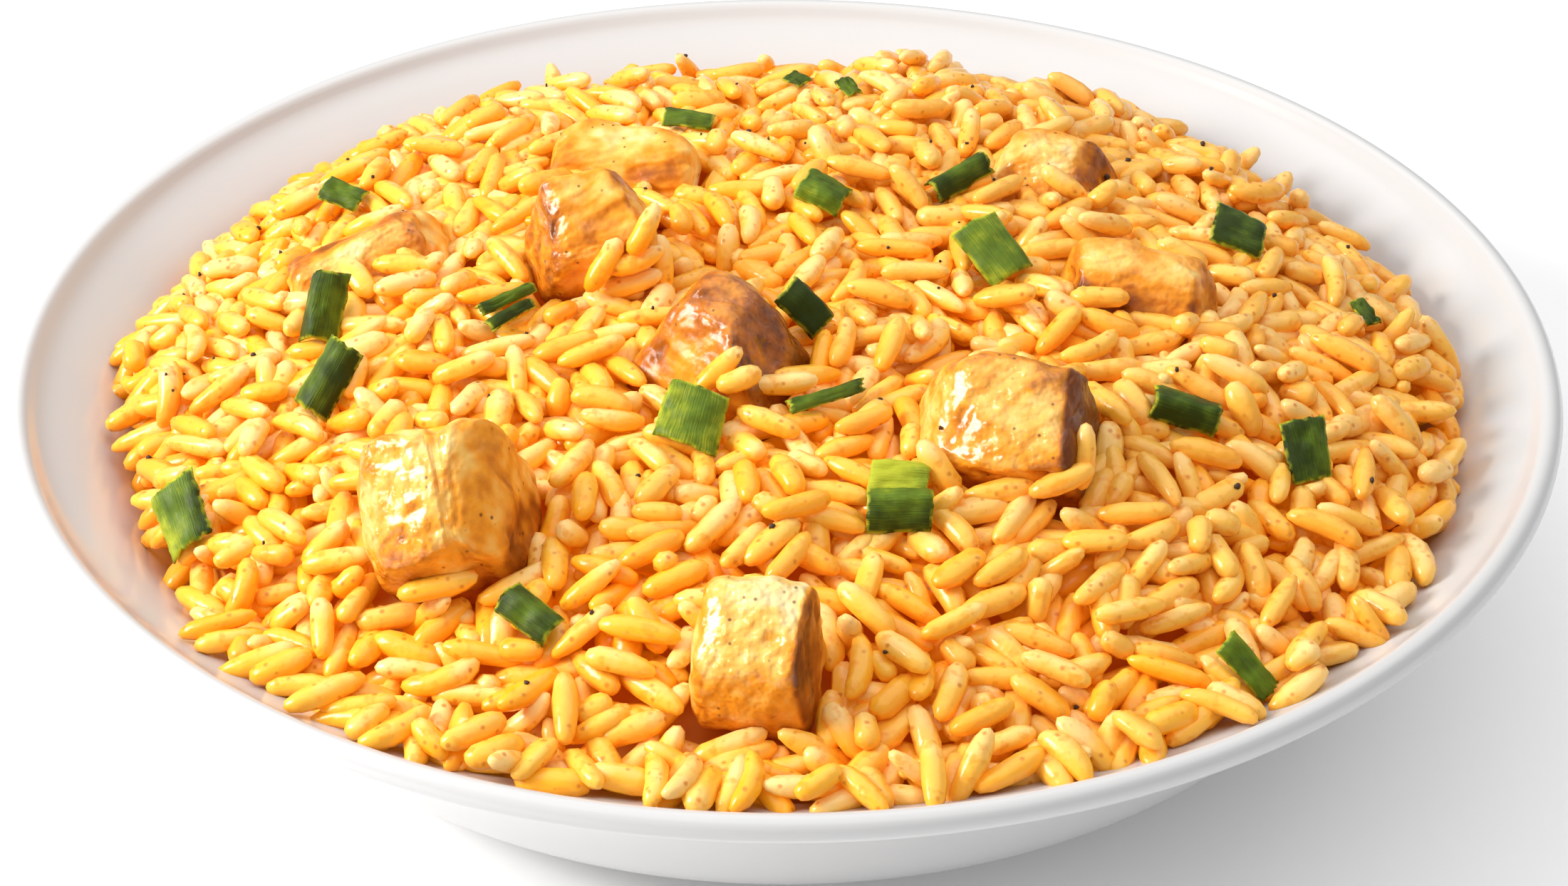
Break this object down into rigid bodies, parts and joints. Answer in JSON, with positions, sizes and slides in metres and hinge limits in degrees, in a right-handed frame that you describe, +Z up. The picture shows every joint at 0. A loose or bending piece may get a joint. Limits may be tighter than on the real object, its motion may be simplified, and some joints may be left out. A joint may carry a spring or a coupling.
{
  "type": "fried rice plate",
  "caption": "Heaped plate of golden fried rice with browned chicken chunks and green onion pieces on a round white rimmed plate.",
  "frame": {"origin": "centre of the plate's foot, on the plane it stands on", "axes": "+Z up, out of the food; -Y towards the near side of the plate, as served; +X to the right"},
  "size_m": [0.22, 0.22, 0.069],
  "materials": {
    "plate_glaze": "white high-gloss glaze",
    "rice": "moist golden cooked grains",
    "chicken": "pale cooked meat with browned, glossy patches",
    "green_onion": "fresh dark green, slightly glossy"
  },
  "bodies": {
    "root": {"plate": "plate_glaze", "rice_heap": "rice", "chicken_1": "chicken", "chicken_2": "chicken", "chicken_3": "chicken", "chicken_4": "chicken", "chicken_5": "chicken", "chicken_6": "chicken", "chicken_7": "chicken", "chicken_8": "chicken", "chicken_9": "chicken", "green_onion_01": "green_onion", "green_onion_02": "green_onion", "green_onion_03": "green_onion", "green_onion_04": "green_onion", "green_onion_05": "green_onion", "green_onion_06": "green_onion", "green_onion_07": "green_onion", "green_onion_08": "green_onion", "green_onion_09": "green_onion", "green_onion_10": "green_onion", "green_onion_11": "green_onion", "green_onion_12": "green_onion", "green_onion_13": "green_onion", "green_onion_14": "green_onion", "green_onion_15": "green_onion", "green_onion_16": "green_onion", "green_onion_17": "green_onion", "green_onion_18": "green_onion", "green_onion_19": "green_onion", "green_onion_20": "green_onion", "green_onion_21": "green_onion", "green_onion_22": "green_onion", "green_onion_23": "green_onion"}
  },
  "joints": []
}
